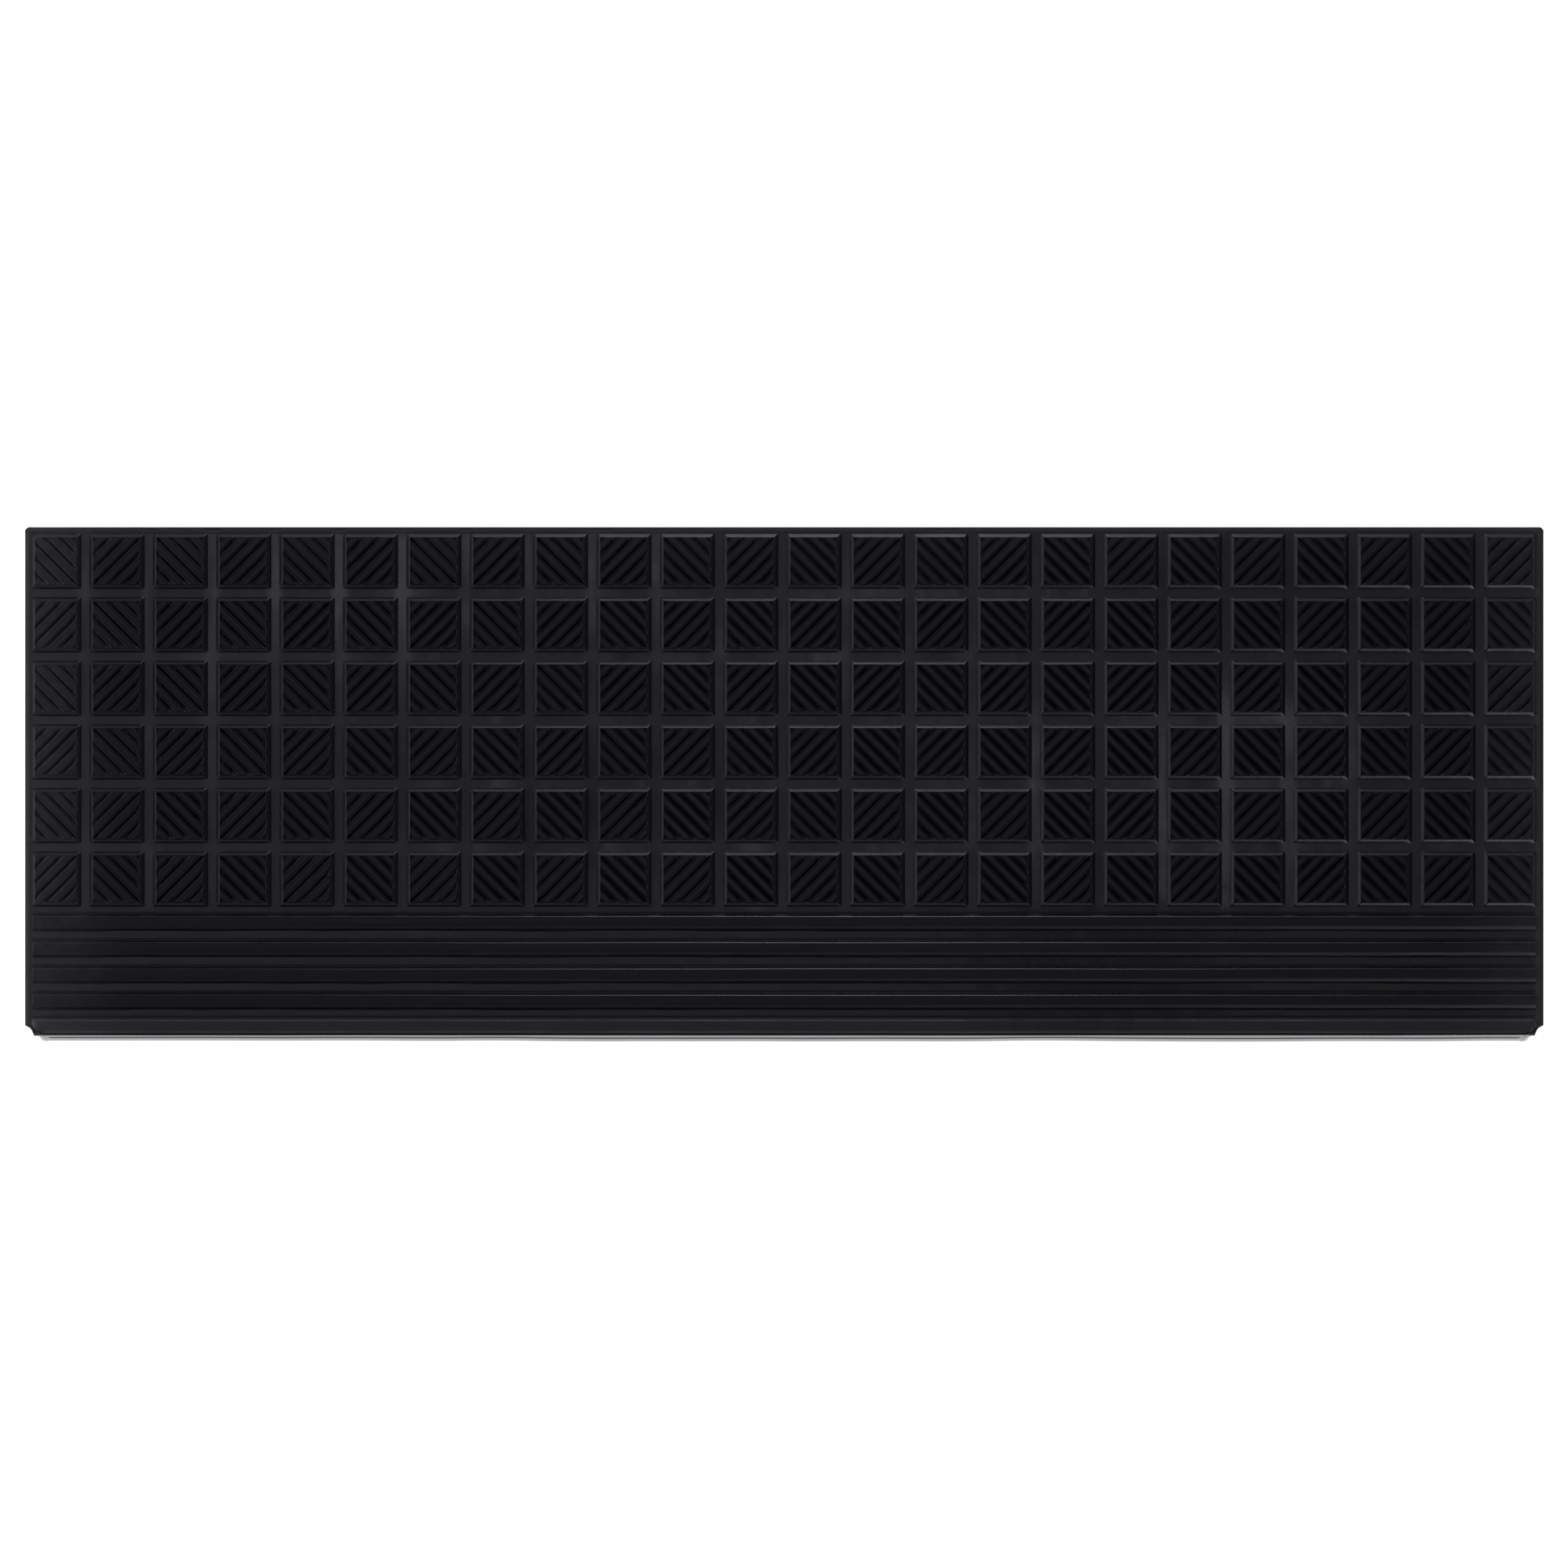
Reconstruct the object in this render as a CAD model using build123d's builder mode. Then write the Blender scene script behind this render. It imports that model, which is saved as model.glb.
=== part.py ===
from build123d import *
import math
import os

# ---------------------------------------------------------------------------
# Rubber step mat: a flat moulded sheet with raised grip blocks and nose ribs
# on top, and a nosing lip that turns down over the front edge of the step.
#
# Frame: X runs along the mat's length, +Y to the rear (the riser side), +Z up.
# Z = 0 is the flat underside that lies on the step. The origin is the centre
# of that underside. The nose is at -Y.
# ---------------------------------------------------------------------------

# overall size of the flat part, mm
MAT_X = 750.0              # length along the step
MAT_Y = 250.0              # depth from the rear edge to the nose
WEB_T = 3.0                # thickness of the plain sheet
REAR_CORNER_R = 1.6        # rear corners in plan

# grip blocks
COLS = 24
ROWS = 6
BLOCK_PITCH_X = 31.3
BLOCK_PITCH_Y = 31.4
BLOCK_BASE = 27.3          # square foot of a block
BLOCK_TOP = 23.6           # square top of a block
BLOCK_H = 1.8              # height above the sheet
PATTERN_X = -0.95          # the block pattern sits this far off centre
LEFT_TRIM = 2.6            # taken off the outer side of the first column
RIGHT_TRIM = 1.2           # and of the last
FIRST_ROW_FROM_REAR = 16.85  # rear edge to the centre of row 1

# diagonal ridges pressed into each block's top
RIDGE_PITCH = 5.3          # square to the ridges
GROOVE_W_TOP = 3.7
GROOVE_W_BOTTOM = 0.8
GROOVE_DEPTH = 1.1
GROOVES_EACH_SIDE = 3      # beside the one through the block's centre

# bead along the rear and the sides
BEAD_W = 2.5
BEAD_H = 1.1

# ribs along the nose
RIB_PITCH = 12.95
FIRST_RIB_Y = -70.4        # centre line of the first rib
RIB_FOOT = 8.9
RIB_TOP = 4.9
RIB_H = 1.8
RIB_LENGTH = 743.2
FLAT_RIBS = 4              # ribs that stand on the flat sheet

# bend and lip
BEND_BACK_Y = -116.6       # where the flat sheet hands over to the bend
NOSE_FRONT_Y = -125.5      # front of the nose
HINGE_Y = -122.5           # line about which the lip flexes
HINGE_Z = 0.6
LIP_T = 3.2                # lip thickness at its root
LIP_RELIEF = 0.15          # the lip's back steps in by this just below the root
RELIEF_AT = 1.5            # how far down the lip the step ends
LIP_FLARE = 13.5           # degrees forward of vertical, as moulded
LIP_REACH = 26.2           # from the flex line to the lip's toe
SEAT_GAP = 0.3             # clearance of the lip's round root in the bend
LIP_RIB_H = 0.5
LIP_RIB_FOOT = 4.6
LIP_RIB_TOP = 3.4
LIP_RIB_AT = (9.0, 17.5)   # centres, measured down the lip from the flex line
END_BEAD_W = 2.2
LIP_END_INSET = 4.8        # the lip stops this far short of the mat's two ends
NOSE_CORNER = 2.8          # and the nose's corners are cut off by this

os.makedirs("parts", exist_ok=True)

rear_y = MAT_Y / 2
web_top = WEB_T
half_x = MAT_X / 2
lip_half_x = half_x - LIP_END_INSET


def finish(piece, label):
    """Name a finished piece and write it."""
    piece.label = label
    export_step(piece, "parts/" + label + ".step")


# --- base sheet: plain web from the rear edge to the bend -------------------
with BuildPart() as base_sheet:
    with BuildSketch(Plane.XY):
        with Locations((0, (rear_y + BEND_BACK_Y) / 2)):
            Rectangle(MAT_X, rear_y - BEND_BACK_Y)
    extrude(amount=WEB_T)
    rear_corners = base_sheet.edges().filter_by(Axis.Z).group_by(Axis.Y)[-1]
    fillet(rear_corners, radius=REAR_CORNER_R)

finish(base_sheet.part, "base_sheet")

# --- edge bead: low rounded bead on the rear and both sides ------------------
# Three straight runs that butt at the rear corners. The side runs go on over
# the bend as far as the nose's cut corners.
bead_front_y = NOSE_FRONT_Y + NOSE_CORNER
bead_side_y = rear_y - BEAD_W

with BuildPart() as rear_bead:
    with BuildSketch(Plane.XY.offset(web_top)):
        with Locations((0, rear_y - BEAD_W / 2)):
            Rectangle(MAT_X, BEAD_W)
    extrude(amount=BEAD_H)
    fillet(rear_bead.edges().filter_by(Axis.Z).group_by(Axis.Y)[-1], radius=REAR_CORNER_R)
    rear_bead_top = rear_bead.faces().sort_by(Axis.Z)[-1]
    fillet(rear_bead_top.edges().sort_by(Axis.Y)[0], radius=0.7)

with BuildPart() as side_bead:
    with BuildSketch(Plane.XY.offset(web_top)):
        with Locations((half_x - BEAD_W / 2, (bead_side_y + bead_front_y) / 2)):
            Rectangle(BEAD_W, bead_side_y - bead_front_y)
    extrude(amount=BEAD_H)
    side_bead_top = side_bead.faces().sort_by(Axis.Z)[-1]
    fillet(side_bead_top.edges().filter_by(Axis.Y), radius=0.8)
    fillet(side_bead.faces().sort_by(Axis.Y)[0].edges().sort_by(Axis.Z)[-1], radius=0.8)

# kept as three solids: a compound, because a builder would fuse them where
# they butt
bead_runs = Compound(children=[rear_bead.part, side_bead.part,
                               mirror(side_bead.part, about=Plane.YZ)])
finish(bead_runs, "edge_beads")

# --- grip blocks --------------------------------------------------------------
# Two hands of one block: the ridges run at 45 degrees, and change direction
# from block to block like a parquet.
groove_at = [RIDGE_PITCH * k for k in range(-GROOVES_EACH_SIDE, GROOVES_EACH_SIDE + 1)]
block_top = web_top + BLOCK_H
s45 = math.sqrt(0.5)



def grip_block(trim_left, trim_right):
    """A block with its ridges running from the rear left to the front right."""
    shift = (trim_left - trim_right) / 2
    cut = trim_left + trim_right
    with BuildPart() as block:
        with BuildSketch(Plane.XY.offset(web_top)):
            with Locations((shift, 0)):
                Rectangle(BLOCK_BASE - cut, BLOCK_BASE)
        with BuildSketch(Plane.XY.offset(block_top)):
            with Locations((shift, 0)):
                Rectangle(BLOCK_TOP - cut, BLOCK_TOP)
        loft()
        with BuildSketch(Plane(origin=(0, 0, block_top), x_dir=(s45, s45, 0),
                               z_dir=(s45, -s45, 0))):
            with Locations(*[(d, 0) for d in groove_at]):
                Polygon((-GROOVE_W_TOP / 2 - 0.15, 0.15), (-GROOVE_W_BOTTOM / 2, -GROOVE_DEPTH),
                        (GROOVE_W_BOTTOM / 2, -GROOVE_DEPTH), (GROOVE_W_TOP / 2 + 0.15, 0.15),
                        align=None)
        extrude(amount=BLOCK_BASE, both=True, mode=Mode.SUBTRACT)
    return block.part


# falling ridges, and their mirror image, rising; the end columns have a
# narrower block that stops short of the edge bead
falling = {"left": grip_block(LEFT_TRIM, 0), "inner": grip_block(0, 0),
           "right": grip_block(0, RIGHT_TRIM)}
rising = {"left": mirror(grip_block(0, LEFT_TRIM), about=Plane.YZ),
          "inner": mirror(grip_block(0, 0), about=Plane.YZ),
          "right": mirror(grip_block(RIGHT_TRIM, 0), about=Plane.YZ)}

for row in range(ROWS):
    row_y = rear_y - FIRST_ROW_FROM_REAR - row * BLOCK_PITCH_Y
    with BuildPart() as grip_blocks:
        for col in range(COLS):
            hand = falling if (row + col) % 2 == 0 else rising
            place = "left" if col == 0 else "right" if col == COLS - 1 else "inner"
            with Locations((PATTERN_X + (col - (COLS - 1) / 2) * BLOCK_PITCH_X, row_y)):
                add(hand[place])
    finish(grip_blocks.part, "grip_blocks_row_%d" % (row + 1))

# --- ribs on the flat sheet ----------------------------------------------------
for k in range(FLAT_RIBS):
    rib_y = FIRST_RIB_Y - k * RIB_PITCH
    with BuildPart() as nose_rib:
        with BuildSketch(Plane.XY.offset(web_top)):
            with Locations((0, rib_y)):
                Rectangle(RIB_LENGTH, RIB_FOOT)
        with BuildSketch(Plane.XY.offset(web_top + RIB_H)):
            with Locations((0, rib_y)):
                Rectangle(RIB_LENGTH - (RIB_FOOT - RIB_TOP), RIB_TOP)
        loft()
        fillet(nose_rib.faces().sort_by(Axis.Z)[-1].edges(), radius=0.5)
    finish(nose_rib.part, "nose_rib_%d" % (k + 1))

# --- bend: from the flat sheet down to the flex line ---------------------------
# Section in the YZ plane, seen along +X. The lip's round root turns in the
# hollow under the front edge.
seat_r = LIP_T / 2 + SEAT_GAP
seat_back_y = HINGE_Y + math.sqrt(seat_r ** 2 - HINGE_Z ** 2)
seat_mid = (HINGE_Y + seat_r * s45, HINGE_Z + seat_r * s45)
brow_z = HINGE_Z + seat_r

with BuildPart() as nose_bend:
    with BuildSketch(Plane.YZ):
        with BuildLine():
            Line((BEND_BACK_Y, 0), (seat_back_y, 0))
            ThreePointArc((seat_back_y, 0), seat_mid, (HINGE_Y, brow_z))
            Line((HINGE_Y, brow_z), (NOSE_FRONT_Y, brow_z))
            Line((NOSE_FRONT_Y, brow_z), (NOSE_FRONT_Y, web_top))
            Line((NOSE_FRONT_Y, web_top), (BEND_BACK_Y, web_top))
            Line((BEND_BACK_Y, web_top), (BEND_BACK_Y, 0))
        make_face()
    extrude(amount=half_x, both=True)
    front_corners = nose_bend.edges().filter_by(Axis.Z).group_by(Axis.Y)[0]
    chamfer(front_corners, length=NOSE_CORNER)

finish(nose_bend.part, "nose_bend")

# --- rib 5: on the corner, its front edge rounded over --------------------------
corner_rib_back = FIRST_RIB_Y - FLAT_RIBS * RIB_PITCH + RIB_FOOT / 2
corner_rib_step = (RIB_FOOT - RIB_TOP) / 2
top_z = web_top + RIB_H
with BuildPart() as nose_rib_5:
    with BuildSketch(Plane.YZ):
        with BuildLine():
            Line((corner_rib_back, web_top), (corner_rib_back - corner_rib_step, top_z))
            Line((corner_rib_back - corner_rib_step, top_z), (NOSE_FRONT_Y + RIB_H, top_z))
            RadiusArc((NOSE_FRONT_Y + RIB_H, top_z), (NOSE_FRONT_Y, web_top), -RIB_H)
            Line((NOSE_FRONT_Y, web_top), (corner_rib_back, web_top))
        make_face()
    extrude(amount=RIB_LENGTH / 2, both=True)

finish(nose_rib_5.part, "nose_rib_5")

# --- lip: built upright on its own plane, leaning forward by the flare ----------
# Local x runs down the lip from the flex line, local y out of its front face.
lean = math.radians(LIP_FLARE)
lip_plane = Plane(origin=(0, HINGE_Y, HINGE_Z),
                  x_dir=(0, -math.sin(lean), -math.cos(lean)),
                  z_dir=(1, 0, 0))
# local y axis of that plane, used to tell which side is the front
f = 1.0 if lip_plane.y_dir.Y < 0 else -1.0
front = f * LIP_T / 2
back = -front
back_face = -f * (LIP_T / 2 - LIP_RELIEF)

with BuildPart() as nosing_lip:
    with BuildSketch(lip_plane):
        with BuildLine():
            Line((0, back), (RELIEF_AT, back_face))
            Line((RELIEF_AT, back_face), (LIP_REACH - 1.2, back_face))
            ThreePointArc((LIP_REACH - 1.2, back_face), (LIP_REACH, 0),
                          (LIP_REACH - 1.2, front))
            Line((LIP_REACH - 1.2, front), (0, front))
            ThreePointArc((0, front), (-LIP_T / 2, 0), (0, back))
        make_face()
    extrude(amount=lip_half_x, both=True)

finish(nosing_lip.part, "nosing_lip")

# --- ribs on the lip's outer face -------------------------------------------------
with BuildPart() as lip_ribs:
    with BuildSketch(lip_plane):
        for d in LIP_RIB_AT:
            with BuildLine():
                Polyline((d - LIP_RIB_FOOT / 2, f * LIP_T / 2),
                         (d - LIP_RIB_TOP / 2, f * (LIP_T / 2 + LIP_RIB_H)),
                         (d + LIP_RIB_TOP / 2, f * (LIP_T / 2 + LIP_RIB_H)),
                         (d + LIP_RIB_FOOT / 2, f * LIP_T / 2), close=True)
            make_face()
    extrude(amount=RIB_LENGTH / 2 - LIP_END_INSET, both=True)

finish(lip_ribs.part, "lip_ribs")

# --- bead down the two ends of the lip ----------------------------------------------
with BuildPart() as lip_end_beads:
    with BuildSketch(lip_plane):
        with BuildLine():
            Polyline((4.4, f * LIP_T / 2), (5.4, f * (LIP_T / 2 + LIP_RIB_H)),
                     (LIP_REACH - 2.6, f * (LIP_T / 2 + LIP_RIB_H)),
                     (LIP_REACH - 1.6, f * LIP_T / 2), close=True)
        make_face()
    extrude(amount=lip_half_x, both=True)
    with BuildSketch(lip_plane):
        with Locations((LIP_REACH / 2, f * LIP_T / 2)):
            Rectangle(LIP_REACH * 2, LIP_T * 2)
    extrude(amount=lip_half_x - END_BEAD_W, both=True, mode=Mode.SUBTRACT)

finish(lip_end_beads.part, "lip_end_beads")
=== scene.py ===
import math

import bmesh
import bpy
import numpy as np
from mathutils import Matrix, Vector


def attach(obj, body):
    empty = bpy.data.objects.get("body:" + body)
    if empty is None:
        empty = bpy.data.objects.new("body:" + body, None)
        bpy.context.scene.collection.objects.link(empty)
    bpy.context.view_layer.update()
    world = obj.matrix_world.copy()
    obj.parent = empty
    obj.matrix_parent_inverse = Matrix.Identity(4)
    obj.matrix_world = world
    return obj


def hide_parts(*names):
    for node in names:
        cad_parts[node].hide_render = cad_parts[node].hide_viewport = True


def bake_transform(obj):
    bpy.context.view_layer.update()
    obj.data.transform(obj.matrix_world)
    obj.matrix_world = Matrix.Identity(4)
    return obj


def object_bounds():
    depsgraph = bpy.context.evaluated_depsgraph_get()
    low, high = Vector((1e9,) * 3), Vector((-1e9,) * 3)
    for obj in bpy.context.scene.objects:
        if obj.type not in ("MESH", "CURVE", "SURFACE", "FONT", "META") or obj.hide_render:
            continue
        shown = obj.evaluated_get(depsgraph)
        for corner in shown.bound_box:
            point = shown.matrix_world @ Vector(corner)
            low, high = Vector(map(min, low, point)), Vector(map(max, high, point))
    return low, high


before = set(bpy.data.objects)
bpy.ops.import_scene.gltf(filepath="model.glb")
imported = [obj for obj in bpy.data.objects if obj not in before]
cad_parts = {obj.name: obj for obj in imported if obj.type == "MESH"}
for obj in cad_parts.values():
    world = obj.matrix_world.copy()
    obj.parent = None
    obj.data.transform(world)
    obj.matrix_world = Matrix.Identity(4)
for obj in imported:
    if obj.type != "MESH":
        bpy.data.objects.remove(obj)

# ---------------------------------------------------------------------------
# A black rubber step mat. Shapes are worked out in millimetres and written to
# the meshes in metres, in the row frame: X along the mat, -Y to the nose,
# +Z up, z = 0 on the flat underside.
# ---------------------------------------------------------------------------

cad_lo, cad_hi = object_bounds()
MM = 0.001

# ---- sizes, as in the CAD ---------------------------------------------------
HALF_X = 375.0
REAR_Y = 125.0
WEB_T = 3.0
BEAD_W, BEAD_H = 3.9, 0.30
COLS, ROWS = 24, 6
PITCH_X, PITCH_Y = 31.3, 31.4
BLOCK_HALF, BLOCK_H = 13.65, 1.8
PATTERN_X, LEFT_TRIM, RIGHT_TRIM = -0.95, 2.6, 1.2
ROW1_Y = REAR_Y - 16.85
RIDGE_PITCH, RIDGE_DEPTH = 5.3, 1.15
RIB_Y0, RIB_PITCH, RIB_FOOT, RIB_H, RIB_HALF_X = -70.4, 12.95, 8.9, 1.8, 371.6
HINGE = np.array([-122.5, 0.6])
FLARE = math.radians(13.5)
LIP_FRONT, LIP_BACK, LIP_REACH = 1.6, 1.45, 26.2
DOWN = np.array([-math.sin(FLARE), -math.cos(FLARE)])      # down the lip, in (y, z)
OUT = np.array([-math.cos(FLARE), math.sin(FLARE)])        # out of its front face


# ---- helpers -----------------------------------------------------------------
_lattices = {}


def noise(x, y, size, seed):
    """Smooth value noise from -1 to 1 with features about size mm across."""
    if seed not in _lattices:
        _lattices[seed] = np.random.RandomState(seed).uniform(-1, 1, (64, 64))
    g = _lattices[seed]
    u, v = np.asarray(x) / size + 31.7, np.asarray(y) / size + 17.3
    iu, iv = np.floor(u).astype(int), np.floor(v).astype(int)
    fu, fv = u - iu, v - iv
    su, sv = fu ** 3 * (fu * (6 * fu - 15) + 10), fv ** 3 * (fv * (6 * fv - 15) + 10)
    a = g[iu % 64, iv % 64] * (1 - su) + g[(iu + 1) % 64, iv % 64] * su
    b = g[iu % 64, (iv + 1) % 64] * (1 - su) + g[(iu + 1) % 64, (iv + 1) % 64] * su
    return a * (1 - sv) + b * sv


def smoothstep(a, b, x):
    t = np.clip((np.asarray(x, float) - a) / (b - a), 0, 1)
    return t * t * (3 - 2 * t)


def smin(a, b, k):
    """Smooth minimum: rounds the edge where a and b cross, over about k."""
    h = np.clip(0.5 + 0.5 * (b - a) / k, 0, 1)
    return b * (1 - h) + a * h - k * h * (1 - h)


def flank(d, width=1.95, steep=0.75, foot=1.6, start=1.0):
    """Height of a rib's side at d mm in from its foot, as a share of its full height:
    a steep straight foot that rolls over into the flat top. foot and start are the
    slopes of the two parts."""
    d = np.clip(np.asarray(d, float), -0.3, width)
    over = np.maximum(d - steep, 0)
    roll = width - steep
    return ((np.minimum(d, steep) * foot + start * (over - over ** 2 / (2 * roll)))
            / (steep * foot + start * roll / 2))


def floor_wave(x, y):
    """How far the moulded sheet's top is from dead flat, in mm."""
    return (0.055 * noise(x, y, 46, 3) + 0.035 * noise(x, y, 21, 4)
            + 0.012 * noise(x, y, 9, 5))


def make_mesh(name, verts, faces, attrs=None, recalc=False, sharp=None):
    """A smooth-shaded mesh from points in mm and faces of 3 or 4 corners. An edge
    between two points marked sharp is a hard one."""
    faces = [np.asarray(f, np.int64) for f in faces if len(f)]
    mesh = bpy.data.meshes.new(name)
    co = (np.asarray(verts, float) * MM).astype(np.float32)
    mesh.vertices.add(len(co))
    mesh.vertices.foreach_set("co", co.ravel())
    loops = np.concatenate([f.ravel() for f in faces]).astype(np.int32)
    sizes = np.concatenate([np.full(len(f), f.shape[1]) for f in faces])
    starts = np.concatenate([[0], np.cumsum(sizes)[:-1]]).astype(np.int32)
    mesh.loops.add(len(loops))
    mesh.loops.foreach_set("vertex_index", loops)
    mesh.polygons.add(len(sizes))
    mesh.polygons.foreach_set("loop_start", starts)
    mesh.polygons.foreach_set("use_smooth", np.ones(len(sizes), bool))
    mesh.update(calc_edges=True)
    mesh.validate()
    for key, value in (attrs or {}).items():
        a = mesh.attributes.new(key, "FLOAT", "POINT")
        a.data.foreach_set("value", np.asarray(value, np.float32).ravel())
    if sharp is not None:
        ends = np.empty(2 * len(mesh.edges), np.int32)
        mesh.edges.foreach_get("vertices", ends)
        hard = sharp[ends.reshape(-1, 2)].all(1)
        mesh.attributes.new("sharp_edge", "BOOLEAN", "EDGE").data.foreach_set("value", hard)
    if recalc:
        bm = bmesh.new()
        bm.from_mesh(mesh)
        bmesh.ops.recalc_face_normals(bm, faces=bm.faces)
        bm.to_mesh(mesh)
        bm.free()
    obj = bpy.data.objects.new(name, mesh)
    bpy.context.scene.collection.objects.link(obj)
    return obj


def grid_quads(nx, ny, start=0):
    """Quads of an nx by ny grid of points stored x-major, facing +Z where both rise."""
    i, j = np.meshgrid(np.arange(nx - 1), np.arange(ny - 1), indexing="ij")
    a = start + i * ny + j
    return np.stack([a, a + ny, a + ny + 1, a + 1], -1).reshape(-1, 4)


def edge_distance(x, y, hx, hy, r):
    """Distance in from a rounded rectangle's edge, negative outside it."""
    qx, qy = np.abs(x) - (hx - r), np.abs(y) - (hy - r)
    out = np.hypot(np.maximum(qx, 0), np.maximum(qy, 0))
    return -(out + np.minimum(np.maximum(qx, qy), 0) - r)


# ---- the sheet, its bend and its lip, as one skin ------------------------------
EDGE = [0.0, 0.1, 0.25, 0.5, 0.75, 1.0, 1.25, 1.5, 1.75, 2.0, 2.25, 2.5, 2.75, 3.05, 3.5, 4.0, 4.6]
RO = 4.4                                                    # outer radius of the bend
C = np.array([HINGE[0] - (LIP_FRONT - RO - OUT[1] * (WEB_T - RO - HINGE[1])) / math.cos(FLARE),
              WEB_T - RO])
TURN = math.radians(90) - FLARE


def bead(d):
    """Height of the edge bead at d mm in from the edge, as a share of its height."""
    return smoothstep(0.3, 1.7, d) * (1 - smoothstep(1.75, BEAD_W, d))


def lip_point(s, across):
    return HINGE + np.multiply.outer(np.asarray(s, float), DOWN) + np.multiply.outer(across, OUT)


# the section, as pairs of outer and inner points from the rear edge to the toe
flat_y = [REAR_Y - e for e in EDGE]
flat_y += list(np.linspace(REAR_Y - 7.0, -115.0, 71))
flat_y += [-117.6, -117.8, -118.0, -118.2, -118.4, -118.6, -118.8, -119.05, -119.35, -119.7]
# a fine groove runs along the rear foot of each rib
REAR_IN = 0.4                                                # where a rib's rear side leaves the sheet
FEET = [RIB_Y0 - k * RIB_PITCH + RIB_FOOT / 2 - REAR_IN for k in range(4)] + [-117.6]
for foot in FEET:
    flat_y = [y for y in flat_y if not foot - 0.1 < y < foot + 2.2 or y == foot]
    flat_y += [foot + q for q in (1.7, 1.2, 0.8, 0.45, 0.15)]
    flat_y += [foot - q for q in (0.3, 0.8) if foot != -117.6]
flat_y = sorted(set(flat_y), reverse=True)
n_flat = len(flat_y)
outer = [(y, WEB_T) for y in flat_y]
inner = [(y, 0.0) for y in flat_y]
normal = [(0.0, 1.0)] * n_flat
n_bend = 15
for a in np.linspace(0, TURN, n_bend):
    n = np.array([-math.sin(a), math.cos(a)])
    thick = WEB_T + (LIP_FRONT + LIP_BACK - WEB_T) * a / TURN
    outer.append(tuple(C + RO * n))
    inner.append(tuple(C + (RO - thick) * n))
    normal.append(tuple(n))
s_bend_end = float(np.dot(C + RO * OUT - HINGE, DOWN))
s_last = LIP_REACH - 1.55
LIP_RIBS, LIP_RIB_H = (9.0, 17.5), 0.4
s_list = [2.0, 2.5, 2.9, 3.2, 3.6, 4.2, 5.0]
for centre in LIP_RIBS:
    s_list += [centre + q for q in (-3.0, -2.45, -2.25, -2.05, -1.8, -1.5, -0.8, 0.0,
                                    0.8, 1.5, 1.8, 2.05, 2.25, 2.45, 3.0)]
s_list += [21.5, 22.6, 23.6, s_last]
s_list = np.array(sorted(s_list))
n_lip = len(s_list)
outer += [tuple(p) for p in lip_point(s_list, np.full(n_lip, LIP_FRONT))]
inner += [tuple(p) for p in lip_point(s_list, np.full(n_lip, -LIP_BACK))]
normal += [tuple(OUT)] * n_lip
outer, inner, normal = np.array(outer), np.array(inner), np.array(normal)
n_s = len(outer)
outer_len = np.concatenate([[0], np.cumsum(np.linalg.norm(np.diff(outer, axis=0), axis=1))])


def arc(cy, cz, r, a0, a1, n):
    return [(cy + r * math.sin(math.radians(a)), cz + r * math.cos(math.radians(a)))
            for a in np.linspace(a0, a1, n)]


# the corner rib's outline, from its rear foot over the nose to its lower foot
rib_line = [(-117.6 - d, 2.97 + 1.80 * float(flank(d)))
            for d in (0.0, 0.35, 0.73, 0.85, 1.0, 1.15, 1.3, 1.5, 1.7, 1.95)]
rib_line += [(-120.6, 4.80), (-122.8, 4.78), (-124.2, 4.74), (-125.1, 4.70)]
rib_line += arc(-125.35, 3.85, 0.85, -4, -84, 8)
rib_line += [(-126.22, 2.6), (-126.28, 0.8), (-126.35, -0.5)]
rib_line += [(-126.28, -1.0), (-125.85, -1.5), (-125.25, -1.95), (-124.82, -2.30)]
rib_line = np.array(rib_line)
rib_len = np.concatenate([[0], np.cumsum(np.linalg.norm(np.diff(rib_line, axis=0), axis=1))])
foot_a = float(np.interp(117.6, -outer[:n_flat, 0], outer_len[:n_flat]))
foot_b = float(outer_len[n_flat + n_bend] + 2.95 - s_list[0])
share = (outer_len - foot_a) / (foot_b - foot_a)
on_rib = (share > 0) & (share < 1)
cut = np.zeros(n_s)
for foot in FEET:
    cut[:n_flat] += np.interp(outer[:n_flat, 0] - foot, [-0.8, -0.3, 0.15, 0.45, 0.8, 1.2, 1.7],
                              [0.0, 0.22, 0.36, 0.32, 0.18, 0.05, 0])
cut[on_rib] = 0
want = np.stack([np.interp(share * rib_len[-1], rib_len, rib_line[:, k]) for k in (0, 1)], -1)
rib_offset = np.where(on_rib[:, None], want - outer, 0.0)

lip_rise = np.zeros(n_s)
for centre in LIP_RIBS:
    rise = LIP_RIB_H * (1 - smoothstep(1.4, 2.45, np.abs(s_list - centre)))
    lip_rise[-n_lip:] = np.maximum(lip_rise[-n_lip:], rise)

xs = np.array([-HALF_X + e for e in EDGE] + list(np.linspace(-HALF_X + 7.0, HALF_X - 7.0, 196))
              + [HALF_X - e for e in reversed(EDGE)])
n_x = len(xs)
edge_d = HALF_X - np.abs(xs)
rib_mask = smoothstep(3.2, 4.8, edge_d)
rear_d = REAR_Y - outer[:, 0]
k_all = np.arange(n_s)
k_lip = n_s - n_lip

X = np.repeat(xs[:, None], n_s, 1)
S = np.repeat(outer_len[None], n_x, 0)
bead_h = np.interp(k_all, [0, k_lip - n_bend, k_lip, n_s - 4, n_s - 1],
                   [BEAD_H, BEAD_H, 0.34, 0.34, 0.2])
lift = np.maximum(bead(edge_d)[:, None] * bead_h[None],
                  np.where(k_all < 40, bead(rear_d), 0.0)[None] * BEAD_H)
clear = smoothstep(2.4, 5.0, np.minimum(edge_d[:, None], rear_d[None]))
wave = floor_wave(X, S) * clear * (1 - 0.6 * smoothstep(outer_len[n_flat], outer_len[k_lip], S))
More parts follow.
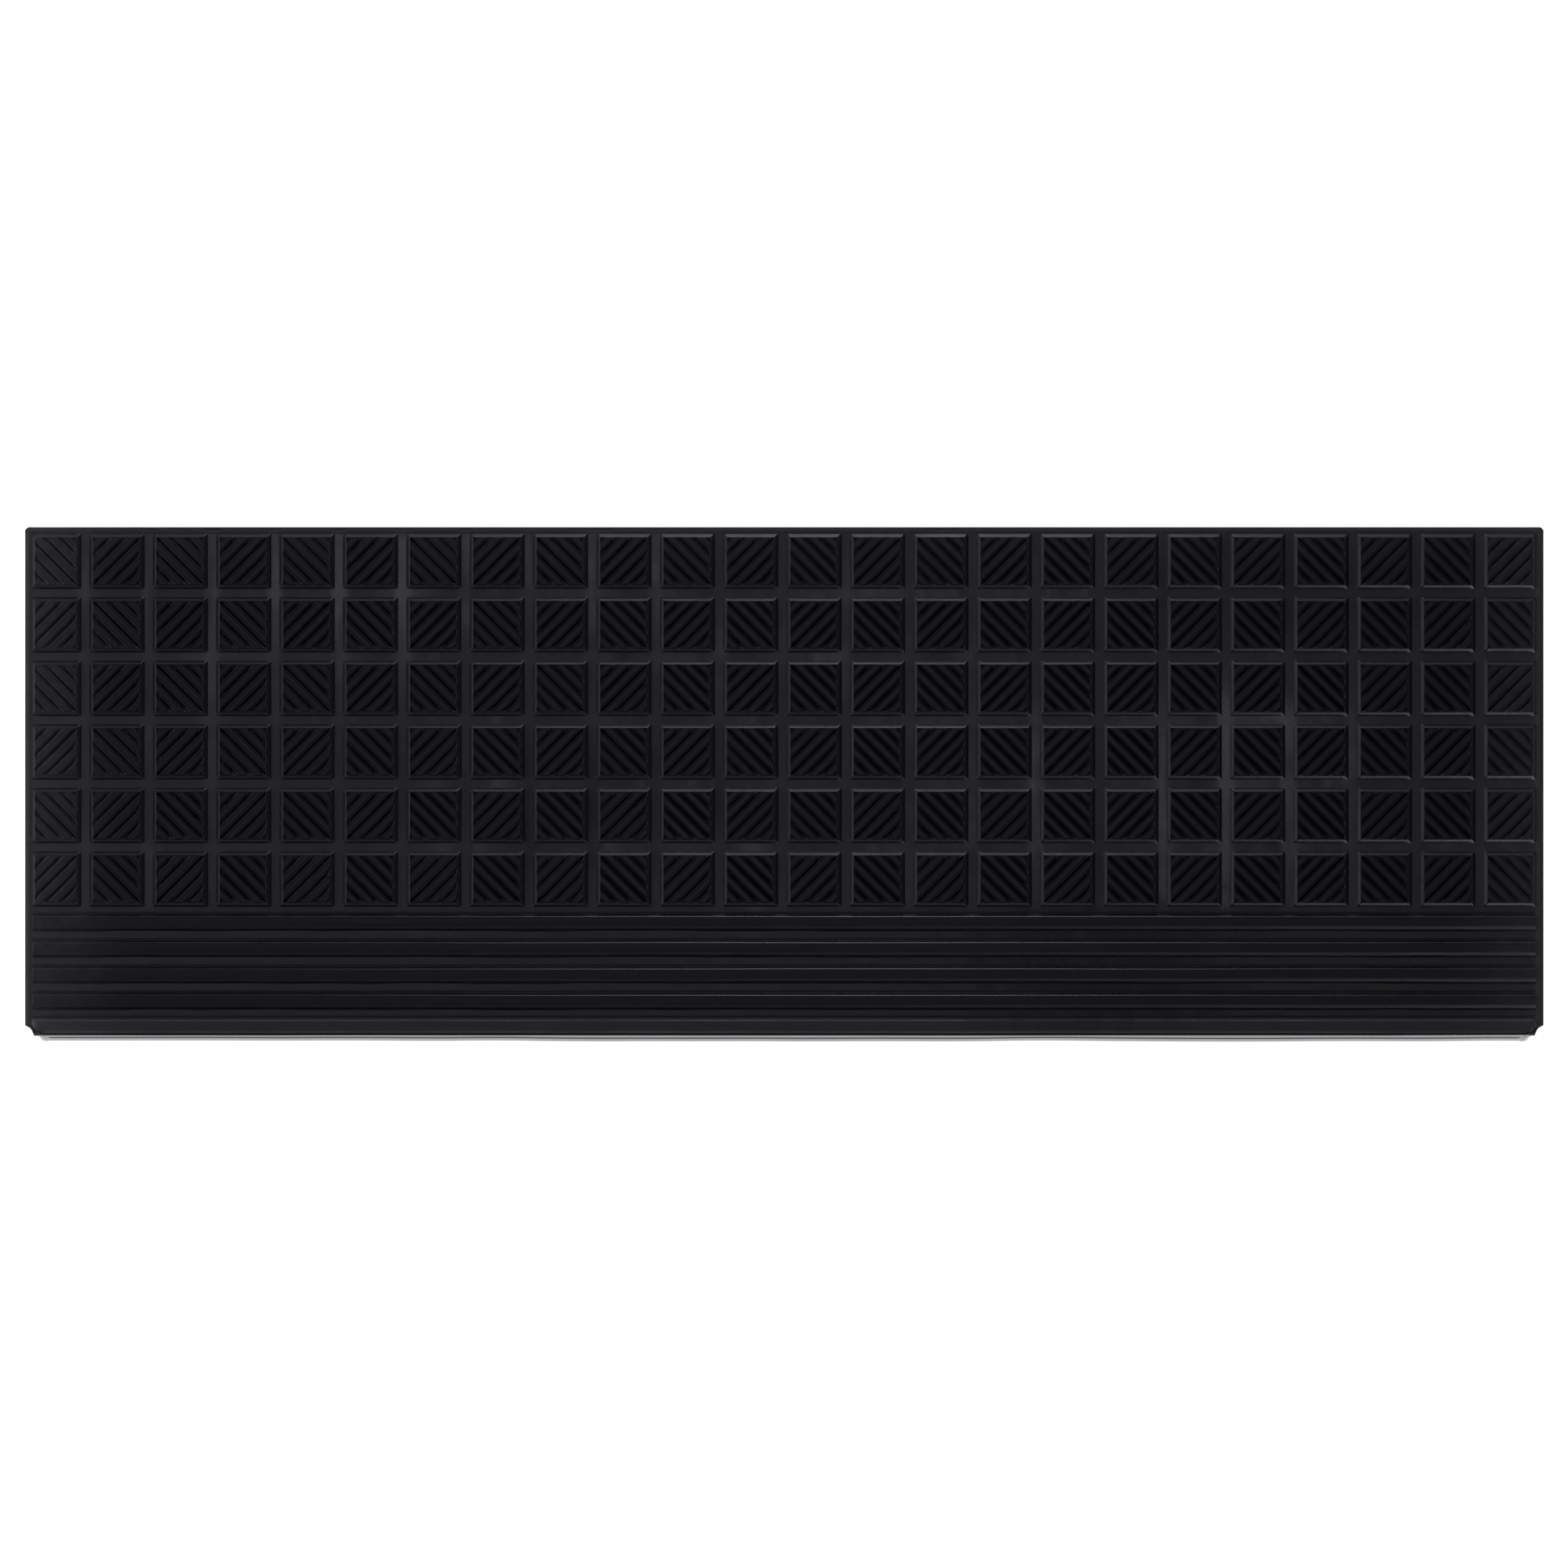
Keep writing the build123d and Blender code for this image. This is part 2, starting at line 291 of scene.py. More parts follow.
# over the front of the nose the corner rib runs out to the very ends
front = smoothstep(0.42, 0.60, share) * on_rib
reach = rib_mask[:, None] * (1 - front) + smoothstep(-0.1, 1.1, edge_d)[:, None] * front
lift = lift * (1 - front * smoothstep(1.0, 0.97, share))
push = lift + wave + (lip_rise - cut)[None] * rib_mask[:, None]
P = outer[None] + push[..., None] * normal[None] + rib_offset[None] * reach[..., None]
Q = np.repeat(inner[None], n_x, 0).astype(float)

# the free edge of soft rubber is never dead straight
free = smoothstep(outer_len[n_flat], outer_len[-1], S)
nose = smoothstep(outer_len[n_flat - 12], outer_len[k_lip], S)
sway = (0.34 * noise(X, 0 * X, 95, 11) + 0.16 * noise(X, 0 * X, 38, 12)) * free - 0.45 * free
sway += 0.13 * noise(X, 0 * X, 70, 14) * nose
droop = 0.10 * noise(X, 0 * X, 60, 13) * free
for A in (P, Q):
    A[..., 0] += sway
    A[..., 1] += droop
# the underside is pressed on a plate: flat, with the faintest hollows upwards
sink = np.clip(0.04 * noise(X, S, 30, 21) + 0.03 * noise(X, S, 12, 22), 0, None)
Q[..., 1] += sink * smoothstep(-121.0, -118.0, Q[..., 0]) * smoothstep(0, 6, edge_d)[:, None]


def plan_corner(x, y, r=2.2):
    """Rounds the two rear corners in plan by drawing in the points near them."""
    u, v = (np.abs(x) - (HALF_X - r)) / r, (y - (REAR_Y - r)) / r
    near = (u > 0) & (v > 0)
    u2, v2 = np.where(near, u, 0), np.where(near, v, 0)
    nu, nv = u2 * np.sqrt(1 - v2 ** 2 / 2), v2 * np.sqrt(1 - u2 ** 2 / 2)
    return (np.where(near, np.sign(x) * (HALF_X - r + r * nu), x),
            np.where(near, REAR_Y - r + r * nv, y))


def placed(x, y, z):
    px, py = plan_corner(x, y)
    return np.stack([px, py, z], -1)


# the nose's corners are cut off aslant in plan, and the lip's ends stand in by as much
inset = np.maximum.accumulate(np.clip(-122.7 - outer[:, 0] - rib_offset[:, 0], 0, 4.8))
X = np.sign(X) * (np.abs(X) - inset[None] * smoothstep(HALF_X - 17.0, HALF_X - 5.5, np.abs(X)))

ROUND = 0.4                                                  # the lower rim's soft edge
top_pts = placed(X, P[..., 0], P[..., 1])
low_full = placed(X, Q[..., 0], Q[..., 1])
draw = lambda d: np.where(d < 4.5, ROUND * (1 - d / 4.5), 0.0)
low_x = np.sign(X) * (np.abs(X) - draw(edge_d)[:, None])
low_y = Q[..., 0] - np.where(rear_d < 4.5, ROUND * (1 - rear_d / 4.5), 0.0)[None]
low_pts = placed(low_x, low_y, Q[..., 1])

verts = [top_pts.reshape(-1, 3), low_pts.reshape(-1, 3)]
count = 2 * n_x * n_s
quads = [grid_quads(n_x, n_s), grid_quads(n_x, n_s, n_x * n_s)[:, ::-1]]
top_id = np.arange(n_x * n_s).reshape(n_x, n_s)
low_id = top_id + n_x * n_s


def wall(top_row, low_row, between):
    """Joins a top rim to a low rim through rows of new points."""
    global count
    rows = [top_row]
    for p in between:
        verts.append(p)
        rows.append(np.arange(count, count + len(p)))
        count += len(p)
    rows.append(low_row)
    for a, b in zip(rows[:-1], rows[1:]):
        quads.append(np.stack([a[:-1], a[1:], b[1:], b[:-1]], -1))
    return rows


def side_rows(top, full, low):
    """Straight down, then round under to the low rim."""
    rows = [top * (1 - t) + full * t for t in (0.3, 0.6, 0.86)]
    foot = top * 0.14 + full * 0.86
    for a in (30, 60):
        c, s = math.cos(math.radians(a)), math.sin(math.radians(a))
        rows.append(low + (foot - full) * (1 - s) + (full - low) * c)
    return rows


wall(top_id[:, 0], low_id[:, 0], side_rows(top_pts[:, 0], low_full[:, 0], low_pts[:, 0]))
wall(top_id[0], low_id[0], side_rows(top_pts[0], low_full[0], low_pts[0]))
wall(top_id[-1], low_id[-1], side_rows(top_pts[-1], low_full[-1], low_pts[-1]))
toe = np.array([0.0, DOWN[0], DOWN[1]])
toe_rows = []
for a in np.linspace(0, math.pi, 11)[1:-1]:
    t = (1 - math.cos(a)) / 2
    toe_rows.append(top_pts[:, -1] * (1 - t) + low_pts[:, -1] * t + toe * 1.5 * math.sin(a))
rows = wall(top_id[:, -1], low_id[:, -1], toe_rows)

all_v = np.concatenate(verts)
all_q = np.concatenate(quads)
caps = []
for end in (0, -1):                                          # the toe's two round ends
    ring = [r[end] for r in rows]
    caps += [[ring[0], ring[k], ring[k + 1]] for k in range(1, len(ring) - 1)]
# the side walls and the end rims share corner points: weld them
key = np.round(all_v * 5000).astype(np.int64)
_, first, back_to = np.unique(key, axis=0, return_index=True, return_inverse=True)
back_to = back_to.ravel()
skin_v = all_v[first]
q = back_to[all_q]
same = (q == np.roll(q, -1, 1))
whole = q[same.sum(1) == 0]
thin = [[c for k, c in enumerate(f) if not same[i, k]] for i, f in
        ((i, q[i]) for i in np.nonzero(same.sum(1) == 1)[0])]
tris = [back_to[c] for c in np.array(caps)] + [np.array(t) for t in thin if len(set(t)) == 3]
tris = np.array([t for t in tris if len(set(t)) == 3])

# how much each point is painted lighter, for the materials: the bead's and the ribs' crests rub first;
# the lift is partly wear and partly painted shade that leaves the lower parts darker
wear_and_shade = np.zeros((2 * n_x * n_s,))
crest = np.maximum(lift / BEAD_H * 0.7, lip_rise[None] / LIP_RIB_H * 0.8 * rib_mask[:, None])
crest = np.maximum(crest, (smoothstep(0.02, 0.25, share) * smoothstep(0.75, 0.4, share))[None]
                   * np.where(on_rib, 1.0, 0.0)[None] * rib_mask[:, None])
wear_and_shade[:n_x * n_s] = crest.ravel()
wear_and_shade = np.concatenate([wear_and_shade, np.zeros(len(all_v) - len(wear_and_shade))])[first]


def spot(x, y, cx, cy, wx, wy):
    return np.exp(-((x - cx) / wx) ** 2 - ((y - cy) / wy) ** 2)


# some of the sheet is scuffed dull and some is polished: 0 to 1
px, py = all_v[first][:, 0], all_v[first][:, 1]
cell = (px - PATTERN_X) / PITCH_X - np.round((px - PATTERN_X) / PITCH_X)
lane = smoothstep(0.16, 0.06, np.abs(cell)) * smoothstep(-66.0, -63.0, py)   # between columns
lane = lane * smoothstep(1.5, 2.5, all_v[first][:, 2])       # and only on the upper side
sheen = 0.25 + 0.17 * noise(px, py, 34, 51) + 0.15 * noise(px, py, 12, 52) + 0.07 * noise(px, py, 5, 53)
sheen += (0.05 + 0.50 * lane) * spot(px, py, -235, 100, 120, 40)
sheen += (0.16 + 0.55 * lane) * spot(px, py, 232, -8, 62, 52)
sheen += (0.02 + 0.20 * lane) * spot(px, py, -300, 20, 60, 80)
sheen -= 0.20 * spot(px, py, 300, 95, 120, 50) + 0.16 * spot(px, py, 340, 0, 30, 120)
sheen -= 0.32 * smoothstep(-58.0, -68.0, py) * (1 - spot(px, py, -330, -90, 110, 60))
sheen -= 0.12 * smoothstep(-60.0, -260.0, px)
sheen += lane * (0.30 * spot(px, py, -215, 105, 80, 26) + 0.42 * spot(px, py, 112, 0, 32, 62))
# some of the lanes between the columns are scuffed duller still
scuffed = lane * (0.85 * spot(px, py, -95, -15, 105, 48) + 0.75 * spot(px, py, 215, 98, 140, 36)
                  + 0.90 * spot(px, py, 155.5, -10, 14, 62) + 0.45 * spot(px, py, 325, -20, 45, 60))
# and so is the floor between the ribs, to the right of the middle
scuffed = scuffed + (0.75 * smoothstep(-60.0, -66.0, py) * spot(px, py, 155, -92, 72, 60)
                     * (all_v[first][:, 2] > 1.5))
lip_part = smoothstep(-123.0, -125.0, py)
sheen = np.clip(sheen * (1 - lip_part) + 1.0 * lip_part, 0, 1) - scuffed * (1 - lip_part)
# the lip is the smoothest part; its two end beads are dull
smooth = lip_part * smoothstep(2.6, 4.4, HALF_X - np.abs(px))
mute = smoothstep(-125.2, -126.2, py) * smoothstep(3.6, 2.4, HALF_X - np.abs(px))
corner = np.zeros((2 * n_x * n_s,))
corner[:n_x * n_s] = ((smoothstep(0.0, 0.06, share) * smoothstep(0.62, 0.5, share))[None]
                      * np.where(on_rib, 1.0, 0.0)[None] * rib_mask[:, None]).ravel()
corner = np.concatenate([corner, np.zeros(len(all_v) - len(corner))])[first]

skin = make_mesh("sheet_bend_and_lip", skin_v, [whole, tris],
                 {"wear_and_shade": wear_and_shade, "sheen": sheen, "upper": corner, "smooth": smooth, "mute": mute},
                 recalc=True)
print("skin", len(skin_v), len(whole), len(tris))


# ---- grip blocks ----------------------------------------------------------------
STEP = RIDGE_PITCH * math.sqrt(2) / 10                       # grid that meets the ridges
RIM = [2.75, 2.4, 2.15, 1.95, 1.75, 1.5, 1.2, 0.7, 0.15, -0.12]


def half_line(edge):
    """Grid lines from just off the centre out over one edge of a block."""
    inner_part = [STEP * k for k in range(1, 40) if STEP * k < edge - 3.2]
    return inner_part + [edge - d for d in RIM]


def block(hand, x0, y0, left, right):
    """One ridged block: its points, faces and wear-and-shade lift (crests lighter for wear,
    grooves and flanks left darker as painted shade), which points are on its upper face,
    and which lie along the bottom of a groove. hand 1: ridges fall to the right."""
    lx = np.array([-v for v in half_line(left)[::-1]] + [0.0] + half_line(right))
    ly = half_line(BLOCK_HALF)
    ly = np.array([-v for v in ly[::-1]] + [0.0] + ly)
    bx, by = np.meshgrid(lx, ly, indexing="ij")
    d = edge_distance(bx - (right - left) / 2, by, (left + right) / 2, BLOCK_HALF, 0.9)
    t = (bx * hand + by) / math.sqrt(2)
    u = np.abs(t / RIDGE_PITCH - np.round(t / RIDGE_PITCH)) * RIDGE_PITCH   # from the groove
    groove = np.clip(1 - u / 1.3, 0, 1)
    depth = RIDGE_DEPTH * (1 + 0.08 * noise(bx + x0, by + y0, 17, 32)) * smoothstep(1.95, 2.6, d)
    top = BLOCK_H + 0.05 * noise(bx + x0, by + y0, 35, 33) - depth * groove
    z = np.clip(smin(top, 0.93 * d, 0.5), -0.12, BLOCK_H)
    # crests painted lighter: partly wear, partly painted shade that leaves the grooves and flanks darker
    wear_and_shade = (1 - groove) * smoothstep(1.5, 2.2, d)
    quads = grid_quads(len(lx), len(ly))
    split = [[0, 1, 3], [1, 2, 3]] if hand == 1 else [[0, 1, 2], [0, 2, 3]]  # along the ridges
    faces = np.concatenate([quads[:, c] for c in split])
    pts = np.stack([bx + x0, by + y0, z + WEB_T], -1).reshape(-1, 3)
    return (pts, faces, wear_and_shade.ravel(), smoothstep(1.3, 1.9, d).ravel(),
            ((u < 0.02) & (d > 2.0)).ravel())


block_rows = []
for row in range(ROWS):
    pts, wear_and_shade_parts, tops, faces, hard = [], [], [], [], []
    made = 0
    for col in range(COLS):
        x0 = PATTERN_X + (col - (COLS - 1) / 2) * PITCH_X
        y0 = ROW1_Y - row * PITCH_Y
        left = BLOCK_HALF - (LEFT_TRIM if col == 0 else 0)
        right = BLOCK_HALF - (RIGHT_TRIM if col == COLS - 1 else 0)
        p, f, w, h, v = block(1 if (row + col) % 2 == 0 else -1, x0, y0, left, right)
        faces.append(f + made)
        made += len(p)
        pts.append(p)
        wear_and_shade_parts.append(w)
        tops.append(h)
        hard.append(v)
    obj = make_mesh("ridged_blocks_row_%d" % (row + 1), np.concatenate(pts),
                    [np.concatenate(faces)],
                    {"wear_and_shade": np.concatenate(wear_and_shade_parts), "upper": np.concatenate(tops)},
                    sharp=np.concatenate(hard))
    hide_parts("grip_blocks_row_%d" % (row + 1))
    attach(obj, "tread")
    block_rows.append(obj)

# ---- nose ribs --------------------------------------------------------------------
front_d = [0.0, 0.3, 0.65, 1.0, 1.35, 1.7, 2.05, 2.4, 2.75, 3.1, 3.6]
back_d = [0.0, 0.1, 0.4, 0.75, 1.13, 1.25, 1.4, 1.55, 1.7, 1.9, 2.1, 2.35, 3.6]
ry = np.array([-RIB_FOOT / 2 + d for d in front_d] + [0.0] + [RIB_FOOT / 2 - d for d in reversed(back_d)])
end_d = [0.0, 0.1, 0.2, 0.3, 0.4, 0.55, 0.75, 1.0, 1.6, 3.0]
rx = np.array([-RIB_HALF_X + d for d in end_d] + list(np.linspace(-RIB_HALF_X + 5, RIB_HALF_X - 5, 180))
              + [RIB_HALF_X - d for d in reversed(end_d)])
gx, gy = np.meshgrid(rx, ry, indexing="ij")
ribs = []
for k in range(4):
    y0 = RIB_Y0 - k * RIB_PITCH
    # the rear side stands steep, the top falls a little to the gentler front side
    at_end, at_rear, at_front = 2.6 * (RIB_HALF_X - np.abs(gx)), RIB_FOOT / 2 - gy, RIB_FOOT / 2 + gy
    d = np.minimum(np.minimum(at_end, at_rear), at_front)
    section = (flank(at_rear - REAR_IN) * smoothstep(0.2, 3.5, at_front) * flank(at_end)
               * (1 - 0.28 * (1 - at_front / RIB_FOOT)))
    crown = RIB_H - 0.03 + 0.03 * noise(gx, gy + y0, 40, 41) + 0.015 * noise(gx, gy + y0, 13, 42)
    z = np.minimum(crown * section + 0.03 * np.minimum(d, 1) - 0.02, RIB_H)
    bend = 0.10 * noise(gx, 0 * gx + y0, 80, 43 + k)
    pts = np.stack([gx, gy + y0 + bend, z + WEB_T], -1).reshape(-1, 3)
    upper = smoothstep(1.5, 2.1, d)
    # rib tops painted a little lighter: partly wear, partly painted shade left on the sides
    obj = make_mesh("nose_rib_top_%d" % (k + 1), pts, [grid_quads(len(rx), len(ry))],
                    {"wear_and_shade": (0.5 * upper).ravel(), "upper": upper.ravel()})
    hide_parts("nose_rib_%d" % (k + 1))
    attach(obj, "tread")
    ribs.append(obj)


# ---- materials ----------------------------------------------------------------------
def rubber(name, base, rough, grain, unevenness, crest_gain, specks, top_rough, shine,
           dull_rough=None, drag=0.06, side_glare=1.0):
    """Black moulded rubber: bluish black, mottled gloss, fine grain, crests painted lighter
    (partly wear, partly painted shade left in the hollows) and a painted glare haze
    towards the ends.

    rough is the gloss of smooth faces, top_rough that of the rubbed upper faces, and
    dull_rough that of the scuffed parts of the sheet. The last argument is the share of
    the painted glare haze that stays on the sides of a piece."""
    mat = bpy.data.materials.new(name)
    mat.use_nodes = True
    nt = mat.node_tree
    nt.nodes.clear()
    N = nt.nodes.new
    link = nt.links.new

    def noise_tex(scale, detail, rough=0.5, distortion=0.0, stretch=None):
        n = N("ShaderNodeTexNoise")
        n.inputs["Scale"].default_value = scale
        n.inputs["Detail"].default_value = detail
        n.inputs["Roughness"].default_value = rough
        n.inputs["Distortion"].default_value = distortion
        if stretch:
            m = N("ShaderNodeMapping")
            m.inputs["Scale"].default_value = stretch
            link(coord.outputs["Object"], m.inputs["Vector"])
            link(m.outputs["Vector"], n.inputs["Vector"])
        else:
            link(coord.outputs["Object"], n.inputs["Vector"])
        return n.outputs["Fac"]

    def ramp(src, a, b, lo, hi):
        m = N("ShaderNodeMapRange")
        m.interpolation_type = "SMOOTHSTEP"
        m.inputs["From Min"].default_value = a
        m.inputs["From Max"].default_value = b
        m.inputs["To Min"].default_value = lo
        m.inputs["To Max"].default_value = hi
        link(src, m.inputs["Value"])
        return m.outputs["Result"]

    def calc(op, a, b=0.0):
        m = N("ShaderNodeMath")
        m.operation = op
        for i, v in enumerate((a, b)):
            if isinstance(v, (int, float)):
                m.inputs[i].default_value = v
            else:
                link(v, m.inputs[i])
        return m.outputs[0]

    def blend_colour(factor, a, b):
        m = N("ShaderNodeMix")
        m.data_type = "RGBA"
        ins = [i for i in m.inputs if i.type == "RGBA"]
        fac = [i for i in m.inputs if i.type == "VALUE"][0]
        for socket, v in ((fac, factor), (ins[0], a), (ins[1], b)):
            if isinstance(v, tuple):
                socket.default_value = v
            else:
                link(v, socket)
        return [o for o in m.outputs if o.type == "RGBA"][0]

    def lighter(gain):
        return (base[0] * gain, base[1] * gain, base[2] * gain, 1)

    out = N("ShaderNodeOutputMaterial")
    bsdf = N("ShaderNodeBsdfPrincipled")
    bsdf.distribution = "MULTI_GGX"
    link(bsdf.outputs[0], out.inputs[0])
    coord = N("ShaderNodeTexCoord")

    def attr(key):
        a = N("ShaderNodeAttribute")
        a.attribute_name = key
        return a.outputs["Fac"]

    wear_and_shade, upper = attr("wear_and_shade"), attr("upper")
    big = noise_tex(28, 3, 0.55, 0.4)                        # patches of 3 to 4 cm
    mid = noise_tex(150, 4, 0.6, 0.8)                        # smears of under a centimetre
    streak = noise_tex(90, 3, 0.6, 0.2, (1.0, 0.14, 1.0))    # wiping marks front to back
    fine = noise_tex(1500, 3, 0.6)                           # grain of under a millimetre

    # colour: bluish black, slightly lighter in random patches and on rubbed crests; the crests' lift is
    # partly wear and partly painted shade that leaves the grooves darker
    tone = calc("ADD", ramp(big, 0.35, 0.7, 0.0, 0.45), ramp(mid, 0.4, 0.75, 0.0, 0.4))
    colour = blend_colour(tone, (*base, 1), lighter(1.9))
    colour = blend_colour(calc("MULTIPLY", wear_and_shade, ramp(mid, 0.3, 0.7, 0.3, 0.9)), colour,
                          lighter(crest_gain))
    # painted glare: the colour is lifted towards pale grey at the two ends, more at the left end, and at
    # the rear edge, a haze of light painted into the rubber
    place = N("ShaderNodeSeparateXYZ")
    link(coord.outputs["Object"], place.inputs[0])
    ends = ramp(calc("ABSOLUTE", place.outputs["X"]), 0.325, 0.378, 0.0, 0.62)
    left_end_glare = ramp(place.outputs["X"], -0.31, -0.378, 0.0, 0.30)
    rear_edge_glare = ramp(place.outputs["Y"], 0.095, 0.127, 0.0, 0.25)
    glare_haze = calc("MULTIPLY", calc("ADD", calc("ADD", ends, left_end_glare), rear_edge_glare),
                 ramp(mid, 0.25, 0.75, 0.35, 0.65))
    # the painted glare haze is weaker on the sides of a piece
    if side_glare < 1.0:
        glare_haze = calc("MULTIPLY", glare_haze, ramp(upper, 0.0, 1.0, side_glare, 1.0))
    colour = blend_colour(glare_haze, colour, (0.050, 0.050, 0.052, 1))
    # a few pale specks of dust
    voro = N("ShaderNodeTexVoronoi")
    voro.inputs["Scale"].default_value = 75
    voro.inputs["Randomness"].default_value = 1.0
    link(coord.outputs["Object"], voro.inputs["Vector"])
    sep = N("ShaderNodeSeparateColor")
    link(voro.outputs["Color"], sep.inputs["Color"])
    rare = calc("GREATER_THAN", sep.outputs["Red"], 1 - specks)
    dot = calc("LESS_THAN", voro.outputs["Distance"], 0.035)
    colour = blend_colour(calc("MULTIPLY", rare, dot), colour, (0.11, 0.11, 0.10, 1))
    link(colour, bsdf.inputs["Base Color"])

    # gloss
    gloss = calc("ADD", ramp(big, 0.3, 0.72, rough - 0.03, rough + 0.03),
                 ramp(mid, 0.35, 0.75, -0.02, 0.04))
    if dull_rough is not None:
        dull = calc("SUBTRACT", 1.0, attr("sheen"))
        dull = calc("ADD", dull, ramp(streak, 0.3, 0.7, -0.16, 0.16))
        gloss = calc("ADD", gloss, calc("MULTIPLY", ramp(dull, 0.0, 1.0, 0.0, 1.0),
                                        dull_rough - rough))
        gloss = calc("ADD", gloss, calc("MULTIPLY", calc("MAXIMUM", calc("SUBTRACT", dull, 1.16),
                                                         0.0), 0.42))
    along = noise_tex(420, 3, 0.6, 0.3, (0.05, 1.0, 1.0))    # drag marks along the mat
    gloss = calc("ADD", gloss, calc("MULTIPLY", upper, calc("ADD", top_rough - rough,
                 ramp(along, 0.3, 0.7, -drag, drag))))
    if dull_rough is not None:
        lip = attr("smooth")
        gloss = calc("MULTIPLY", gloss, calc("SUBTRACT", 1.0, calc("MULTIPLY", lip, 0.55)))
        mute_by = attr("mute")
        gloss = calc("ADD", gloss, calc("MULTIPLY", mute_by, 0.3))
        relief = calc("SUBTRACT", 1.0, calc("MULTIPLY", lip, 0.93))
    link(gloss, bsdf.inputs["Roughness"])
    bsdf.inputs["Specular IOR Level"].default_value = shine

    # relief: slow unevenness of the moulding, then fine grain
    under = N("ShaderNodeBump")
    under.inputs["Strength"].default_value = 1.0
    under.inputs["Distance"].default_value = unevenness
    if dull_rough is not None:
        link(calc("MULTIPLY", relief, unevenness), under.inputs["Distance"])
    link(mid, under.inputs["Height"])
    over = N("ShaderNodeBump")
    over.inputs["Strength"].default_value = 1.0
    over.inputs["Distance"].default_value = grain
    if dull_rough is not None:
        link(calc("MULTIPLY", relief, grain), over.inputs["Distance"])
    link(fine, over.inputs["Height"])
    link(under.outputs["Normal"], over.inputs["Normal"])
    link(over.outputs["Normal"], bsdf.inputs["Normal"])
    return mat


web_mat = rubber("rubber_sheet", (0.0040, 0.0041, 0.0056), 0.25, 0.000020, 0.00008, 1.8, 0.012,
                 top_rough=0.33, shine=0.5, dull_rough=0.53)
# the blocks keep about a third of the painted glare haze on their sides
block_mat = rubber("rubber_blocks", (0.0024, 0.0024, 0.0036), 0.34, 0.000030, 0.00004, 2.2, 0.006,
                   top_rough=0.38, shine=0.185, drag=0.03, side_glare=0.35)
rib_mat = rubber("rubber_ribs", (0.0032, 0.0032, 0.0046), 0.30, 0.000012, 0.00004, 2.0, 0.008,
                 top_rough=0.54, shine=0.23)

skin.data.materials.append(web_mat)
for o in block_rows:
    o.data.materials.append(block_mat)
for o in ribs:
    o.data.materials.append(rib_mat)

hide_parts("base_sheet", "edge_beads", "nose_bend", "nose_rib_5", "nosing_lip",
            "lip_ribs", "lip_end_beads")
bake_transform(skin)

# ---- floor, light, camera ---------------------------------------------------------------
scene = bpy.context.scene
floor_z = cad_lo.z - 0.0004
bpy.ops.mesh.primitive_plane_add(size=16, location=(0, 0, floor_z))
ground = bpy.context.object
ground.name = "floor"
fm = bpy.data.materials.new("floor_white")
fm.use_nodes = True
nt = fm.node_tree
nt.nodes.clear()
f_out = nt.nodes.new("ShaderNodeOutputMaterial")
f_dif = nt.nodes.new("ShaderNodeBsdfDiffuse")
f_dif.inputs["Color"].default_value = (0.82, 0.82, 0.82, 1)
f_emi = nt.nodes.new("ShaderNodeEmission")
f_emi.inputs["Color"].default_value = (1, 1, 1, 1)
f_emi.inputs["Strength"].default_value = 0.9
f_add = nt.nodes.new("ShaderNodeAddShader")
f_clear = nt.nodes.new("ShaderNodeBsdfTransparent")
f_mix = nt.nodes.new("ShaderNodeMixShader")
f_geo = nt.nodes.new("ShaderNodeNewGeometry")
nt.links.new(f_dif.outputs[0], f_add.inputs[0])
nt.links.new(f_emi.outputs[0], f_add.inputs[1])
nt.links.new(f_geo.outputs["Backfacing"], f_mix.inputs["Fac"])
nt.links.new(f_add.outputs[0], f_mix.inputs[1])
nt.links.new(f_clear.outputs[0], f_mix.inputs[2])
nt.links.new(f_mix.outputs[0], f_out.inputs[0])
ground.data.materials.append(fm)

